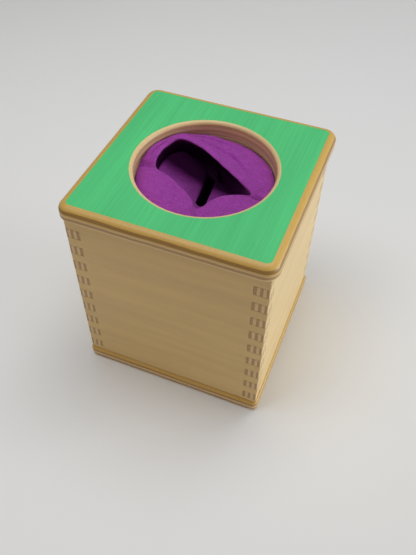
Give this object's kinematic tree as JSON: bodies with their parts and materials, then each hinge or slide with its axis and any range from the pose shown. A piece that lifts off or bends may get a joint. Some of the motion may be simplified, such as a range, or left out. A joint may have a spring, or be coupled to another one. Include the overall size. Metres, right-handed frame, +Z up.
{
  "type": "tissue box toy",
  "caption": "Cube-shaped plywood box with finger-jointed corners and a painted lift-off lid; cotton scarves bunched inside are pulled out through a round hole in the lid.",
  "frame": {"origin": "on the ground, under the middle of the base board", "axes": "+Z up, -Y out of the front wall, +X out of the right wall"},
  "size_m": [0.1274, 0.1274, 0.1443],
  "materials": {
    "birch_ply": "clear satin lacquer over pale plywood, with darker plies on the edges",
    "lid_paint": "satin green paint on the top face, with bare lacquered plywood edges",
    "scarf_cloth": "soft purple woven cotton"
  },
  "bodies": {
    "box": {"base_board": "birch_ply", "front_wall": "birch_ply", "back_wall": "birch_ply", "left_wall": "birch_ply", "right_wall": "birch_ply"},
    "lid": {"lid_board": "lid_paint", "locating_board": "birch_ply"},
    "bottom_scarf": {"bottom_scarf": "scarf_cloth"},
    "third_scarf": {"third_scarf": "scarf_cloth"},
    "second_scarf": {"second_scarf": "scarf_cloth"},
    "top_scarf": {"top_scarf": "scarf_cloth"}
  },
  "joints": [
    {"name": "lid_lift", "type": "slide", "parent": "box", "child": "lid", "axis": [0, 0, 1], "range_m": [0, 0.08]},
    {"name": "bottom_scarf_pull", "type": "slide", "parent": "box", "child": "bottom_scarf", "axis": [0, 0, 1], "range_m": [0, 0.14]},
    {"name": "third_scarf_pull", "type": "slide", "parent": "bottom_scarf", "child": "third_scarf", "axis": [0, 0, 1], "range_m": [0, 0.113]},
    {"name": "second_scarf_pull", "type": "slide", "parent": "third_scarf", "child": "second_scarf", "axis": [0, 0, 1], "range_m": [0, 0.086]},
    {"name": "top_scarf_pull", "type": "slide", "parent": "second_scarf", "child": "top_scarf", "axis": [0, 0, 1], "range_m": [0, 0.059]}
  ]
}
